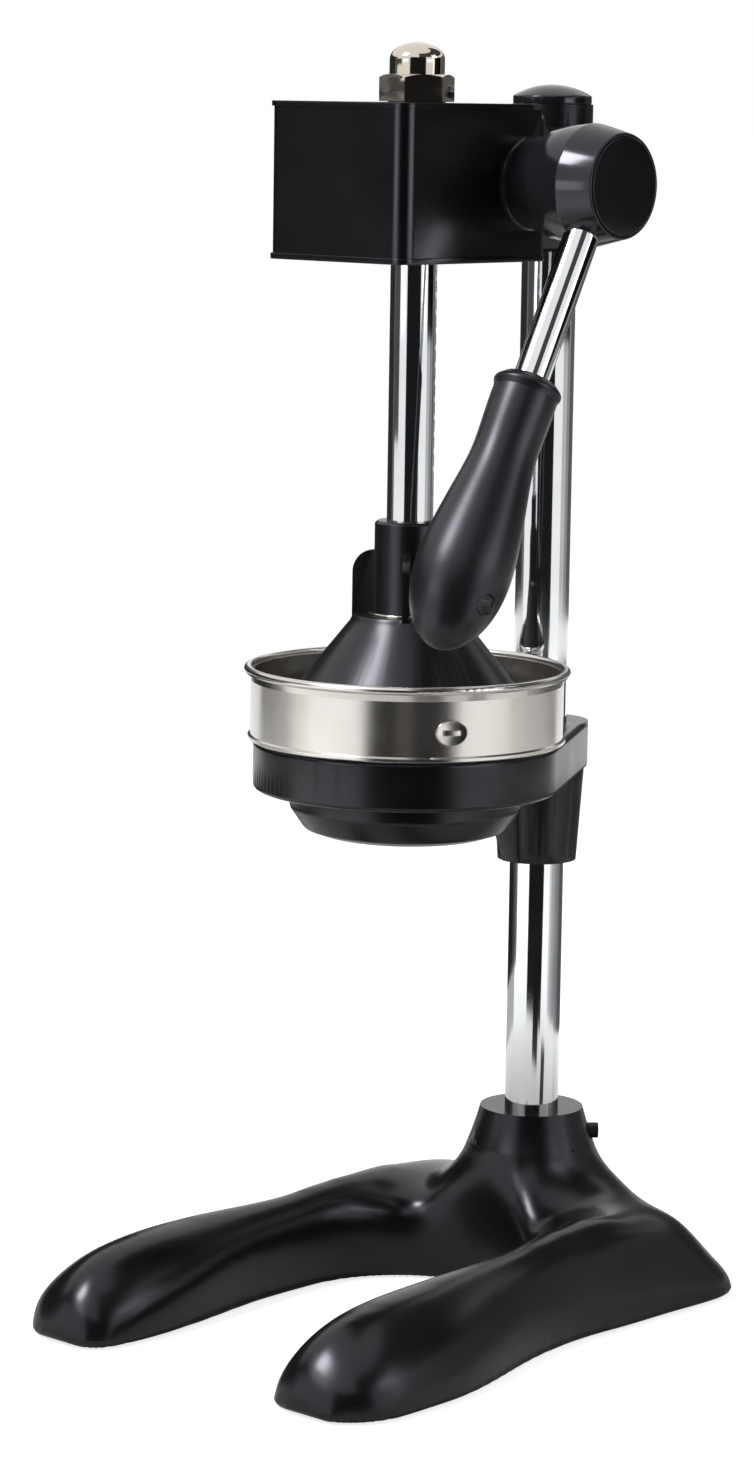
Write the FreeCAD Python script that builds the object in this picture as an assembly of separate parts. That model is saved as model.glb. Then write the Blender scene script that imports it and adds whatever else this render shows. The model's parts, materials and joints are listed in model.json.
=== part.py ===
import FreeCAD, Part
import math
import os

V = FreeCAD.Vector

# Lever citrus juice press. Millimetres, +Z up, -Y towards the user, +X the lever side.
# The origin is on the ground, at the middle of the base's footprint.

# Base plan, with distances ahead of and behind the press axis
toe_reach = 118.0
heel_reach = 138.0
toe_half_width = 89.4
waist_half_width = 73.0
heel_half_width = 75.8
crotch_radius = 45.2
crotch_behind_press = 4.0
toe_inner_half_width = 39.4

# Base heights
leg_height = 36.5
crease_height = 26.5
boss_top = 68.0
boss_top_radius = 19.8
ground_gap = 0.6
base_lip = 6.0
post_behind_wall = 0.6

# Flare of the post, as how far it has swelled at each drop below its top
post_flare = [(0.0, 0.0), (2.4, 8.0), (4.8, 14.5), (8.4, 22.0), (13.6, 28.0),
              (19.0, 33.0), (22.5, 38.5), (24.5, 46.0)]

# Where the upright axes stand, counted back from the press axis
column_behind_press = 75.6
hub_behind_press = 24.5

# Rubber feet
foot_radius = 8.0
foot_sunk = 2.4
foot_screw_radius = 2.0
foot_screw_head_radius = 3.8
foot_screw_head = 2.0
foot_screw_length = 14.0
foot_behind_toe = 28.0
foot_ahead_of_heel = 40.0
foot_inside_heel = 22.0

# Column
column_dia = 20.6
column_seat = 14.0
column_top_drop = 1.7
column_hole_radius = 6.0
column_hole_depth = 14.0
column_bolt_radius = 5.0
column_bolt_head_radius = 9.0
column_bolt_head = 6.5
column_bolt_length = 34.0
column_washer_radius = 11.5
column_washer = 2.0

# Set screws
set_screw_radius = 3.0
set_screw_socket_radius = 1.5
set_screw_socket_depth = 2.5
base_set_screw_drop = 10.0
base_set_screw_proud = 6.2
carrier_set_screw_rise = 19.0

# Head housing
housing_width = 66.4
housing_bottom = 396.4
housing_height = 52.2
housing_front = 42.6
housing_length = 78.8
housing_wall = 5.0
housing_corner = 5.5
housing_rear_round = 6.5
plate_overhang = 0.6
top_plate = 1.9
bottom_plate = 2.2
plate_screw_radius = 1.6
plate_screw_head_radius = 3.0
plate_screw_head = 1.4
plate_screw_length = 9.0
plate_screw_inset = 6.2

# Press rod, its rack and its bushes
rod_dia = 17.0
rod_above_cone_roof = 9.0
rod_running_gap = 0.04
rod_neck_radius = 8.0
rack_below_head = 73.2
gear_module = 2.0
gear_teeth = 18
gear_addendum = 1.75
gear_dedendum = 2.3
gear_backlash = 0.16
gear_room_gap = 0.8
gear_room_side = 1.2
pressure_angle = 20.0
bush_wall = 3.5
upper_bush_length = 10.0
lower_bush_length = 9.0
guide_boss_wall = 3.5

# Acorn nut and its stop washer
nut_across_flats = 24.0
nut_hex_height = 9.7
nut_hex_turn = 53.3
nut_dome_radius = 10.0
nut_dome_straight = 5.2
nut_top_above_hex = 11.5
nut_thread_depth = 14.0
nut_chamfer = 1.2
stop_washer_radius = 10.4
stop_washer_height = 1.0
stop_washer_proud = 0.3

# Press cone
cone_collar_radius = 12.8
cone_collar_height = 34.5
cone_height = 34.0
cone_shoulder_radius = 21.4
cone_shoulder_drop = 2.4
cone_mouth_radius = 43.5
cone_mouth_band = 4.0
cone_above_cup_floor = 25.0
cone_wall = 3.0
cone_roof = 6.0
cone_fin_count = 4
cone_fin_turn = 39.0
cone_fin_thickness = 2.6
cone_fin_radius = 20.7
cone_fin_height = 23.6
cone_fin_corner = 8.0
cone_screw_radius = 4.0
cone_screw_length = 22.0
cone_screw_head_radius = 6.5
cone_screw_head = 5.0

# Pinion, shaft and lever hub
gear_width = 18.0
shaft_radius = 7.5
shaft_running_gap = 0.04
shaft_bush_wall = 2.4
key_width = 5.0
key_height = 5.0
key_length = 14.0
ring_groove_depth = 1.0
ring_thickness = 1.2
bearing_boss_length = 14.4
bearing_boss_radius = 16.3
bearing_boss_flange_radius = 17.0
bearing_boss_flange = 2.2
left_cap_length = 9.0
left_cap_radius = 16.3
left_cap_wall = 2.5
hub_gap = 0.4
hub_length = 29.2
hub_rear_radius = 19.8
hub_widest_radius = 22.0
hub_widest_from_rear = 15.8
hub_face_radius = 18.6
hub_edge_round = 0.8
hub_cap_radius = 17.4
hub_cap_thickness = 3.0
hub_cap_proud = 0.3
hub_shaft_grip = 24.0

# Lever and grip, with distances along the lever from the hub axis
lever_from_hub_rear = 17.8
lever_rest_angle = 27.7
lever_dia = 12.8
lever_inner_end = 8.4
lever_outer_end = 172.0
lever_fit_gap = 0.02
grip_start = 76.5
grip_length = 102.5
grip_bead_radius = 12.4
grip_neck_radius = 11.7
grip_waist_radius = 12.0
grip_bulge_radius = 17.2
grip_bulge_from_start = 72.5
plug_from_start = 84.5
plug_radius = 3.9
plug_dish = 0.5
grip_screw_length = 6.0

# Rear clamp on the column, and its cap
clamp_radius = 15.3
clamp_flange_half_width = 26.0
clamp_flange = 5.0
clamp_flange_inset = 2.0
clamp_neck_wall = 3.8
clamp_neck_inset = 1.5
clamp_screw_radius = 2.5
clamp_screw_head_radius = 4.4
clamp_screw_head = 5.0
clamp_screw_x = 19.0
clamp_screw_z = 17.0
cap_radius = 14.7
cap_rim = 3.0
cap_dome = 4.2
cap_spigot = 12.0
fit_gap = 0.02

# Bowl carrier
carrier_bottom = 200.4
carrier_height = 18.1
carrier_ring_radius = 56.4
carrier_bowl_radius = 51.0
carrier_floor = 4.0
carrier_floor_hole_radius = 37.0
carrier_edge_round = 2.0
sleeve_top_radius = 18.6
sleeve_bottom_radius = 15.0
sleeve_below_ring = 35.4
carrier_web_thickness = 8.0

# Juice funnel under the carrier
funnel_top_radius = 42.8
funnel_straight = 6.5
funnel_foot_radius = 33.0
funnel_depth = 19.0
funnel_wall = 2.2
funnel_outlet_radius = 8.0
funnel_screw_radius = 1.5
funnel_screw_head_radius = 2.5
funnel_screw_head = 1.8
funnel_screw_bite = 4.0
funnel_screw_spare = 0.4
funnel_screw_count = 3
funnel_screw_circle = 40.0
funnel_ear = 5.2
funnel_ear_wall = 2.3

# Strainer cup and reamer
cup_rim_radius = 60.0
cup_rim_bead = 1.5
cup_height = 27.3
cup_drum_radius = 57.6
cup_wall = 1.2
cup_seat_gap = 0.3
cup_basket_radius = 48.5
cup_basket_depth = 12.8
cup_foot_bead = 0.9
cup_hole_radius = 1.6
cup_hole_rings = (40.0, 45.0)
cup_holes_per_mm = 0.15
cup_badge_turn = 58.0
cup_badge_half_width = 6.0
cup_badge_half_height = 4.9
cup_badge_proud = 0.9
cup_badge_rise = 10.8
reamer_base_radius = 36.0
reamer_base = 3.0
reamer_shoulder_radius = 32.0
reamer_height = 44.0
reamer_tip_radius = 5.0
reamer_rib_count = 10
reamer_rib_proud = 2.2
reamer_rib_thickness = 3.0

# Places worked out from the sizes above
press_y = (toe_reach - heel_reach) / 2.0
column_y = press_y + column_behind_press
hub_y = press_y + hub_behind_press
crotch_y = press_y + crotch_behind_press
toe_y = press_y - toe_reach
heel_y = press_y + heel_reach
rod_radius = rod_dia / 2.0
column_radius = column_dia / 2.0
lever_radius = lever_dia / 2.0
housing_half = housing_width / 2.0
housing_front_y = press_y - housing_front
housing_rear_y = housing_front_y + housing_length
housing_top = housing_bottom + housing_height
head_top = housing_top + top_plate
head_bottom = housing_bottom - bottom_plate
hub_z = (head_top + head_bottom) / 2.0
washer_top = head_top + stop_washer_height
nut_bottom = head_top + stop_washer_proud
nut_hex_top = nut_bottom + nut_hex_height
rod_top = washer_top + nut_thread_depth
boss_face_x = housing_half + bearing_boss_length
hub_rear_x = boss_face_x + hub_gap
hub_face_x = hub_rear_x + hub_length
lever_x = hub_rear_x + lever_from_hub_rear
carrier_top = carrier_bottom + carrier_height
sleeve_bottom = carrier_bottom - sleeve_below_ring
cup_drum_bottom = carrier_top + cup_seat_gap
cup_rim_top = cup_drum_bottom + cup_height
cup_basket_bottom = cup_drum_bottom - cup_basket_depth
cup_badge_height = cup_drum_bottom + cup_badge_rise
cone_mouth_bottom = cup_basket_bottom + cone_above_cup_floor
cone_mouth_top = cone_mouth_bottom + cone_mouth_band
cone_shoulder_top = cone_mouth_bottom + cone_height
cone_collar_top = cone_shoulder_top + cone_collar_height
cone_fin_top = cone_shoulder_top + cone_fin_height
rod_bottom = cone_shoulder_top - cone_roof + rod_above_cone_roof
rack_bottom = head_bottom - rack_below_head
column_top = head_top - column_top_drop
gear_pitch_radius = gear_module * gear_teeth / 2.0
rack_pitch = math.pi * gear_module
rack_line_y = hub_y - gear_pitch_radius
gear_room_radius = gear_pitch_radius + gear_addendum + gear_room_gap
gear_room_half = gear_width / 2.0 + gear_room_side


def cyl(radius, start, end):
    """A round bar from one point to another."""
    run = end.sub(start)
    return Part.makeCylinder(radius, run.Length, start, run)


def tube(outer, inner, start, end):
    return cyl(outer, start, end).cut(cyl(inner, start, end))


def box(x0, x1, y0, y1, z0, z1):
    return Part.makeBox(x1 - x0, y1 - y0, z1 - z0, V(x0, y0, z0))


def upright(radius, y, z0, z1, x=0.0):
    return cyl(radius, V(x, y, z0), V(x, y, z1))


def cross(radius, x0, x1, y, z):
    return cyl(radius, V(x0, y, z), V(x1, y, z))


def turned(points, origin, axis, side):
    """A solid of revolution from (radius, distance along the axis) points."""
    spots = [origin + side * r + axis * h for r, h in points]
    spots.append(spots[0])
    face = Part.Face(Part.makePolygon(spots))
    return face.revolve(origin, axis, 360.0)


def turned_upright(points, y):
    return turned(points, V(0, y, 0), V(0, 0, 1), V(1, 0, 0))


def turned_cross(points, y, z):
    return turned(points, V(0, y, z), V(1, 0, 0), V(0, 0, 1))


def hexagon(across_flats, z0, z1, y, turn):
    corner = across_flats / 2.0 / math.cos(math.pi / 6.0)
    spots = []
    for i in range(7):
        a = math.radians(turn - 90.0 + 30.0 + 60.0 * i)
        spots.append(V(corner * math.cos(a), y + corner * math.sin(a), z0))
    return Part.Face(Part.makePolygon(spots)).extrude(V(0, 0, z1 - z0))


def spun_copies(shape, count, y, first=0.0):
    copies = []
    for i in range(count):
        copy = shape.copy()
        copy.rotate(V(0, y, 0), V(0, 0, 1), first + 360.0 * i / count)
        copies.append(copy)
    return copies


def socket_screw(radius, head_radius, head, length, socket_radius, place, axis):
    """A cap screw whose head seats at a place and whose thread runs along an axis."""
    screw = cyl(radius, place, place + axis * length)
    screw = screw.fuse(cyl(head_radius, place - axis * head, place))
    mouth = place - axis * head
    return screw.cut(cyl(socket_radius, mouth, mouth + axis * (head * 0.6)))


def grub_screw(place, axis, length):
    """A headless screw from its outer end along its axis."""
    screw = cyl(set_screw_radius, place, place + axis * length)
    return screw.cut(cyl(set_screw_socket_radius, place, place + axis * set_screw_socket_depth))


def base_section(origin, out, sizes):
    """A closed upright section of the horseshoe, from its inner wall to its outer lip."""
    inner, outer, crease_share, height_share, crest, flank = sizes
    low = ground_gap
    height = height_share * (leg_height - low)
    crease = min(crease_share * (crease_height - low), height - 1.0)
    lip = min(base_lip, 0.3 * height)

    def at(share, z):
        return origin + out * (inner + share * (outer - inner)) + V(0, 0, low + z)

    top = Part.BSplineCurve()
    top.interpolate([
        at(0.0, crease),
        at(0.5 * crest, crease + 0.72 * (height - crease)),
        at(crest, height),
        at(crest + 0.47 * (1.0 - crest), 0.84 * height),
        at(crest + 0.84 * (1.0 - crest), flank * height),
        at(1.0, lip),
    ])
    wall = Part.makeLine(at(0.0, 0.0), at(0.0, crease))
    edge = Part.makeLine(at(1.0, lip), at(1.0, 0.0))
    floor = Part.makeLine(at(1.0, 0.0), at(0.0, 0.0))
    return Part.Wire([wall, top.toShape(), edge, floor])


def leg_stations():
    """Sections of a leg by their distance behind the toe's tip."""
    near = toe_inner_half_width
    fat = toe_half_width
    tip = (near + fat) / 2.0 - 2.0
    return [
        (0.0, (tip - 8.0, tip + 9.0, 0.10, 0.24, 0.40, 0.6)),
        (3.0, (near + 6.0, fat - 11.8, 0.14, 0.44, 0.40, 0.58)),
        (9.0, (near + 2.2, fat - 6.0, 0.22, 0.63, 0.40, 0.56)),
        (19.0, (near + 0.4, fat - 1.4, 0.34, 0.80, 0.40, 0.52)),
        (38.0, (near, fat, 0.56, 0.92, 0.40, 0.5)),
        (60.0, (near + 1.8, fat - 1.2, 0.80, 0.96, 0.40, 0.5)),
        (84.0, (crotch_radius - 0.8, fat - 6.4, 0.97, 0.97, 0.38, 0.5)),
    ]


def arc_stations():
    """Sections round the crotch by their angle from straight back."""
    r = crotch_radius
    waist = waist_half_width
    side = heel_half_width
    back = heel_y - crotch_y
    return [
        (90.0, (r, waist + 1.5, 1.0, 1.0, 0.36, 0.5)),
        (75.0, (r, (waist + 0.3) / math.sin(math.radians(75.0)), 1.0, 1.05, 0.38, 0.5)),
        (60.0, (r, (waist + 1.2) / math.sin(math.radians(60.0)), 1.0, 1.06, 0.42, 0.5)),
        (49.0, (r, (side - 0.8) / math.sin(math.radians(49.0)), 1.0, 1.08, 0.46, 0.45)),
        (41.0, (r, side / math.sin(math.radians(41.0)), 1.0, 1.03, 0.50, 0.42)),
        (35.0, (r, 0.975 * side / math.sin(math.radians(35.0)), 1.0, 1.03, 0.46, 0.36)),
        (27.0, (r, 0.872 * back / math.cos(math.radians(27.0)), 1.0, 1.02, 0.44, 0.36)),
        (14.0, (r, 0.963 * back / math.cos(math.radians(14.0)), 1.0, 1.0, 0.42, 0.40)),
        (0.0, (r, back, 1.0, 1.0, 0.42, 0.40)),
    ]


def base_horseshoe():
    """The two legs and the heel, lofted from one toe round to the other."""
    right = []
    left = []
    for back, sizes in leg_stations():
        origin = V(0, toe_y + back, 0)
        right.append(base_section(origin, V(1, 0, 0), sizes))
        left.append(base_section(origin, V(-1, 0, 0), sizes))
    centre = V(0, crotch_y, 0)
    for angle, sizes in arc_stations():
        a = math.radians(angle)
        right.append(base_section(centre, V(math.sin(a), math.cos(a), 0), sizes))
        if angle > 0.0:
            left.append(base_section(centre, V(-math.sin(a), math.cos(a), 0), sizes))
    return Part.makeLoft(right + left[::-1], True, False)


def base_boss():
    """The flared post that carries the column."""
    low = ground_gap
    r = boss_top_radius
    foot = r + post_flare[-1][0]
    foot_top = boss_top - post_flare[-1][1]
    flare = Part.BSplineCurve()
    flare.interpolate([V(r + swell, 0, boss_top - drop) for swell, drop in post_flare])
    edges = [
        Part.makeLine(V(0, 0, low), V(0, 0, boss_top)),
        Part.makeLine(V(0, 0, boss_top), V(r, 0, boss_top)),
        flare.toShape(),
        Part.makeLine(V(foot, 0, foot_top), V(foot, 0, low)),
        Part.makeLine(V(foot, 0, low), V(0, 0, low)),
    ]
    boss = Part.Face(Part.Wire(edges)).revolve(V(0, 0, 0), V(0, 0, 1), 360.0)
    boss.translate(V(0, column_y, 0))
    return boss


def foot_places():
    """Centres of the four feet."""
    toe_x = (toe_inner_half_width + toe_half_width) / 2.0
    heel_x = heel_half_width - foot_inside_heel
    front = toe_y + foot_behind_toe
    rear = heel_y - foot_ahead_of_heel
    return [(toe_x, front), (-toe_x, front), (heel_x, rear), (-heel_x, rear)]


def set_screw_lines():
    """Outer end and inward direction of the two screws that lock the column."""
    lines = []
    reach = boss_top_radius + base_set_screw_proud
    for side in (1.0, -1.0):
        out = V(side * math.sqrt(0.5), math.sqrt(0.5), 0)
        place = V(0, column_y, boss_top - base_set_screw_drop) + out * reach
        lines.append((place, out * -1.0, reach - column_radius))
    return lines


def base_casting():
    front = crotch_radius + post_behind_wall
    post = base_boss().cut(upright(front, crotch_y, 0.0, boss_top))
    body = base_horseshoe().fuse(post)
    body = body.cut(upright(column_radius + fit_gap, column_y, column_seat, boss_top + 1.0))
    body = body.cut(upright(column_bolt_radius + 0.5, column_y, 0.0, column_seat))
    pocket = column_bolt_head + column_washer
    body = body.cut(upright(column_washer_radius + 0.5, column_y, 0.0, ground_gap + pocket))
    for x, y in foot_places():
        body = body.cut(upright(foot_radius, y, 0.0, ground_gap + foot_sunk, x))
        body = body.cut(upright(foot_screw_radius, y, 0.0, foot_screw_length + 1.0, x))
    for place, inward, length in set_screw_lines():
        body = body.cut(cyl(set_screw_radius, place, place + inward * (length + 1.0)))
    return body


def rubber_feet():
    feet = []
    for x, y in foot_places():
        foot = upright(foot_radius, y, 0.0, ground_gap + foot_sunk, x)
        foot = foot.cut(upright(foot_screw_radius, y, 0.0, ground_gap + foot_sunk, x))
        recess = foot_screw_head + 0.4
        foot = foot.cut(upright(foot_screw_head_radius, y, 0.0, recess, x))
        feet.append(foot)
    return Part.makeCompound(feet)


def foot_screws():
    screws = []
    for x, y in foot_places():
        seat = V(x, y, foot_screw_head + 0.4)
        screws.append(socket_screw(foot_screw_radius, foot_screw_head_radius, foot_screw_head,
                                   foot_screw_length - foot_screw_head - 0.4, 1.2, seat, V(0, 0, 1)))
    return Part.makeCompound(screws)


def column():
    bar = upright(column_radius, column_y, column_seat, column_top)
    bar = bar.cut(upright(column_hole_radius, column_y, column_top - column_hole_depth, column_top))
    inside = column_bolt_length - (column_seat - ground_gap - column_bolt_head - column_washer)
    return bar.cut(upright(column_bolt_radius, column_y, column_seat, column_seat + inside + 1.0))


def column_washer_ring():
    top = ground_gap + column_bolt_head + column_washer
    ring = upright(column_washer_radius, column_y, top - column_washer, top)
    return ring.cut(upright(column_bolt_radius + 0.2, column_y, 0.0, top))


def column_bolt():
    seat = V(0, column_y, ground_gap + column_bolt_head)
    return socket_screw(column_bolt_radius, column_bolt_head_radius, column_bolt_head - 0.4,
                        column_bolt_length, 4.0, seat, V(0, 0, 1))


def base_set_screws():
    return Part.makeCompound([grub_screw(p, a, l) for p, a, l in set_screw_lines()])


def rounded_block(half, y0, y1, z0, z1, corner):
    block = box(-half, half, y0, y1, z0, z1)
    ups = [e for e in block.Edges if abs(e.Vertexes[0].Z - e.Vertexes[1].Z) > 0.5 * (z1 - z0)]
    return block.makeFillet(corner, ups)


def plate_screw_places(rear_inset):
    x = housing_half - plate_screw_inset
    front = housing_front_y + plate_screw_inset
    rear = housing_rear_y - rear_inset
    return [(x, front), (-x, front), (x, rear), (-x, rear)]


def shaft_hole(x0, x1, radius):
    return cross(radius, x0, x1, hub_y, hub_z)


def head_housing():
    """The gear case: a box open below, with round guides for rod, shaft and screws."""
    y0 = housing_front_y
    y1 = housing_rear_y
    shell = rounded_block(housing_half, y0, y1, housing_bottom, housing_top, housing_corner)
    rear = [e for e in shell.Edges if abs(e.CenterOfMass.y - y1) < 0.01
            and abs(e.CenterOfMass.z - housing_top) < 0.01]
    shell = shell.makeFillet(housing_rear_round - 1.5, rear)
    w = housing_wall
    hollow = rounded_block(housing_half - w, y0 + w, y1 - w, housing_bottom - 1.0, housing_top - w, 2.0)
    bush_radius = rod_radius + bush_wall
    guide = upright(bush_radius + guide_boss_wall, press_y, housing_top - upper_bush_length, housing_top)
    posts = []
    for x, y in plate_screw_places(plate_screw_inset):
        posts.append(upright(plate_screw_inset - 0.2, y, housing_bottom, housing_top, x))
    inner = [guide] + posts
    keep = shell.common(Part.makeCompound(inner))
    body = shell.cut(hollow).fuse(keep)
    body = body.cut(cross(gear_room_radius, -gear_room_half, gear_room_half, hub_y, hub_z))
    body = body.cut(upright(bush_radius, press_y, housing_bottom, housing_top + 1.0))
    outer = shaft_radius + shaft_bush_wall
    body = body.cut(shaft_hole(-housing_half - 1.0, housing_half + 1.0, outer))
    for x, y in plate_screw_places(plate_screw_inset):
        body = body.cut(upright(plate_screw_radius, y, housing_bottom - 1.0,
                                housing_bottom + plate_screw_length, x))
    for x, y in plate_screw_places(housing_rear_round + plate_screw_inset):
        body = body.cut(upright(plate_screw_radius, y, housing_top - plate_screw_length,
                                housing_top + 1.0, x))
    for x, z in clamp_screw_places():
        body = body.cut(cyl(clamp_screw_radius, V(x, y1 - w - 1.0, z), V(x, y1 + 1.0, z)))
    return body


def head_top_plate():
    h = housing_half + plate_overhang
    y0 = housing_front_y - plate_overhang
    y1 = housing_rear_y - housing_rear_round
    plate = rounded_block(h, y0, y1, housing_top, head_top, housing_corner)
    plate = plate.cut(upright(rod_radius + bush_wall, press_y, housing_top, head_top))
    for x, y in plate_screw_places(housing_rear_round + plate_screw_inset):
        plate = plate.cut(upright(plate_screw_radius, y, housing_top, head_top, x))
        plate = plate.cut(upright(plate_screw_head_radius, y, head_top - plate_screw_head, head_top, x))
    return plate


def head_bottom_plate():
    h = housing_half + plate_overhang
    y0 = housing_front_y - plate_overhang
    y1 = housing_rear_y
    plate = rounded_block(h, y0, y1, head_bottom, housing_bottom, housing_corner)
    guide = upright(rod_radius + bush_wall + guide_boss_wall, press_y, housing_bottom,
                    head_bottom + lower_bush_length)
    plate = plate.fuse(guide)
    plate = plate.cut(upright(rod_radius + bush_wall, press_y, head_bottom - 1.0,
                              head_bottom + lower_bush_length + 1.0))
    for x, y in plate_screw_places(plate_screw_inset):
        plate = plate.cut(upright(plate_screw_radius, y, head_bottom, housing_bottom, x))
        plate = plate.cut(upright(plate_screw_head_radius, y, head_bottom,
                                  head_bottom + plate_screw_head, x))
    return plate


def plate_screws():
    screws = []
    for x, y in plate_screw_places(housing_rear_round + plate_screw_inset):
        seat = V(x, y, head_top - plate_screw_head)
        screws.append(socket_screw(plate_screw_radius, plate_screw_head_radius, plate_screw_head,
                                   plate_screw_length - 1.0, 1.0, seat, V(0, 0, -1)))
    for x, y in plate_screw_places(plate_screw_inset):
        seat = V(x, y, head_bottom + plate_screw_head)
        screws.append(socket_screw(plate_screw_radius, plate_screw_head_radius, plate_screw_head,
                                   plate_screw_length - 1.0, 1.0, seat, V(0, 0, 1)))
    return Part.makeCompound(screws)


def rack_clear_tube(outer, z0, z1):
    inner = rod_radius + rod_running_gap
    return upright(outer, press_y, z0, z1).cut(upright(inner, press_y, z0, z1))


def upper_rod_bush():
    return rack_clear_tube(rod_radius + bush_wall, housing_top - upper_bush_length, head_top)


def lower_rod_bush():
    return rack_clear_tube(rod_radius + bush_wall, head_bottom, head_bottom + lower_bush_length)


def shaft_bush(x0, x1):
    ring = cross(shaft_radius + shaft_bush_wall, x0, x1, hub_y, hub_z)
    return ring.cut(cross(shaft_radius + shaft_running_gap, x0, x1, hub_y, hub_z))


def bearing_boss():
    """The fixed round boss between the gear case and the lever hub."""
    r = bearing_boss_radius
    points = [
        (shaft_radius + shaft_bush_wall, housing_half),
        (bearing_boss_flange_radius, housing_half),
        (bearing_boss_flange_radius, housing_half + bearing_boss_flange - 0.6),
        (bearing_boss_flange_radius - 0.6, housing_half + bearing_boss_flange),
        (r, housing_half + bearing_boss_flange),
        (r + 1.2, boss_face_x),
        (shaft_radius + shaft_bush_wall, boss_face_x),
    ]
    return turned_cross(points, hub_y, hub_z)


def left_bearing_cap():
    """A blind cap over the far end of the shaft."""
    x = -housing_half
    end = x - left_cap_length
    r = left_cap_radius
    points = [
        (0.0, end),
        (r - 2.0, end),
        (r, end + 2.0),
        (r, x),
        (shaft_radius + shaft_bush_wall, x),
        (shaft_radius + shaft_bush_wall, end + left_cap_wall),
        (0.0, end + left_cap_wall),
    ]
    return turned_cross(points, hub_y, hub_z)


def clamp_screw_places():
    x = clamp_screw_x
    return [(s * x, hub_z + t * clamp_screw_z) for s in (1, -1) for t in (1, -1)]


def column_clamp():
    """The rear casting that joins the gear case to the column, hollow behind the gear."""
    y1 = housing_rear_y
    h = clamp_flange_half_width
    z0 = head_bottom + clamp_flange_inset
    z1 = housing_top - housing_rear_round + 1.5
    flange = box(-h, h, y1, y1 + clamp_flange, z0, z1)
    n = gear_room_half + clamp_neck_wall
    neck = box(-n, n, y1, column_y, z0 + clamp_neck_inset, z1 - clamp_neck_inset)
    sleeve = upright(clamp_radius, column_y, z0, head_top)
    body = flange.fuse([neck, sleeve])
    body = body.cut(cross(gear_room_radius, -gear_room_half, gear_room_half, hub_y, hub_z))
    body = body.cut(upright(column_radius + fit_gap, column_y, z0 - 1.0, head_top + 1.0))
    for x, z in clamp_screw_places():
        body = body.cut(cyl(clamp_screw_radius + 0.2, V(x, y1, z), V(x, y1 + clamp_flange, z)))
    return body


def clamp_screws():
    screws = []
    for x, z in clamp_screw_places():
        seat = V(x, housing_rear_y + clamp_flange, z)
        length = clamp_flange + housing_wall + 0.5
        screws.append(socket_screw(clamp_screw_radius, clamp_screw_head_radius, clamp_screw_head,
                                   length, 2.0, seat, V(0, -1, 0)))
    return Part.makeCompound(screws)


def column_cap():
    r = cap_radius
    rim = head_top + cap_rim
    dome_radius = (r * r + cap_dome * cap_dome) / (2.0 * cap_dome)
    disc = upright(r, column_y, head_top, rim)
    ball = Part.makeSphere(dome_radius, V(0, column_y, rim + cap_dome - dome_radius))
    dome = ball.common(upright(r, column_y, rim, rim + cap_dome + 1.0))
    spigot = upright(column_hole_radius - fit_gap, column_y, column_top - cap_spigot, head_top)
    return disc.fuse([dome, spigot])


def hull_plate(r1, y1, r2, y2, z0, z1):
    """A flat plate whose outline wraps a large and a small circle."""
    lean = math.asin((r1 - r2) / (y2 - y1))
    c = math.cos(lean)
    s = math.sin(lean)
    a = V(r1 * c, y1 + r1 * s, z0)
    b = V(r2 * c, y2 + r2 * s, z0)
    a2 = V(-r1 * c, y1 + r1 * s, z0)
    b2 = V(-r2 * c, y2 + r2 * s, z0)
    front = Part.Arc(a2, V(0, y1 - r1, z0), a).toShape()
    back = Part.Arc(b, V(0, y2 + r2, z0), b2).toShape()
    wire = Part.Wire([front, Part.makeLine(a, b), back, Part.makeLine(b2, a2)])
    return Part.Face(wire).extrude(V(0, 0, z1 - z0))


def carrier_screw_line():
    t = carrier_set_screw_rise / (carrier_top - sleeve_bottom)
    r = sleeve_bottom_radius + t * (sleeve_top_radius - sleeve_bottom_radius)
    place = V(0, column_y + r - 0.6, sleeve_bottom + carrier_set_screw_rise)
    return place, V(0, -1, 0), r - 0.6 - column_radius


def bowl_carrier():
    """The ring and arm that hold the cup, with a tapered sleeve on the column."""
    z0 = carrier_bottom
    z1 = carrier_top
    plate = hull_plate(carrier_ring_radius, press_y, sleeve_top_radius, column_y, z0, z1)
    edges = [e for e in plate.Edges if abs(e.BoundBox.ZMin - e.BoundBox.ZMax) < 0.01]
    plate = plate.makeFillet(carrier_edge_round, edges)
    sleeve = Part.makeCone(sleeve_bottom_radius, sleeve_top_radius, z1 - sleeve_bottom,
                           V(0, column_y, sleeve_bottom), V(0, 0, 1))
    web_front = press_y + funnel_top_radius + 1.0
    t = carrier_web_thickness / 2.0
    web = Part.Face(Part.makePolygon([
        V(-t, web_front, z0 + 1.0),
        V(-t, column_y, z0 + 1.0),
        V(-t, column_y, sleeve_bottom),
        V(-t, column_y - sleeve_bottom_radius, sleeve_bottom),
        V(-t, web_front, z0 + 1.0),
    ])).extrude(V(2.0 * t, 0, 0))
    body = plate.fuse([sleeve, web])
    body = body.cut(upright(carrier_bowl_radius, press_y, z0 + carrier_floor, z1 + 1.0))
    body = body.cut(upright(carrier_floor_hole_radius, press_y, z0 - 1.0, z1))
    body = body.cut(upright(column_radius + fit_gap, column_y, sleeve_bottom - 1.0, z1 + 1.0))
    place, inward, length = carrier_screw_line()
    body = body.cut(cyl(set_screw_radius, place - inward * 4.0, place + inward * (length + 1.0)))
    rise = V(0, 0, carrier_floor)
    for place in funnel_screw_places():
        seat = place + funnel_screw_seat()
        body = body.cut(cyl(funnel_screw_radius, place, place + rise))
        body = body.cut(cyl(funnel_screw_head_radius, seat, seat + rise))
    return body


def carrier_set_screw():
    place, inward, length = carrier_screw_line()
    return grub_screw(place, inward, length)


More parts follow.
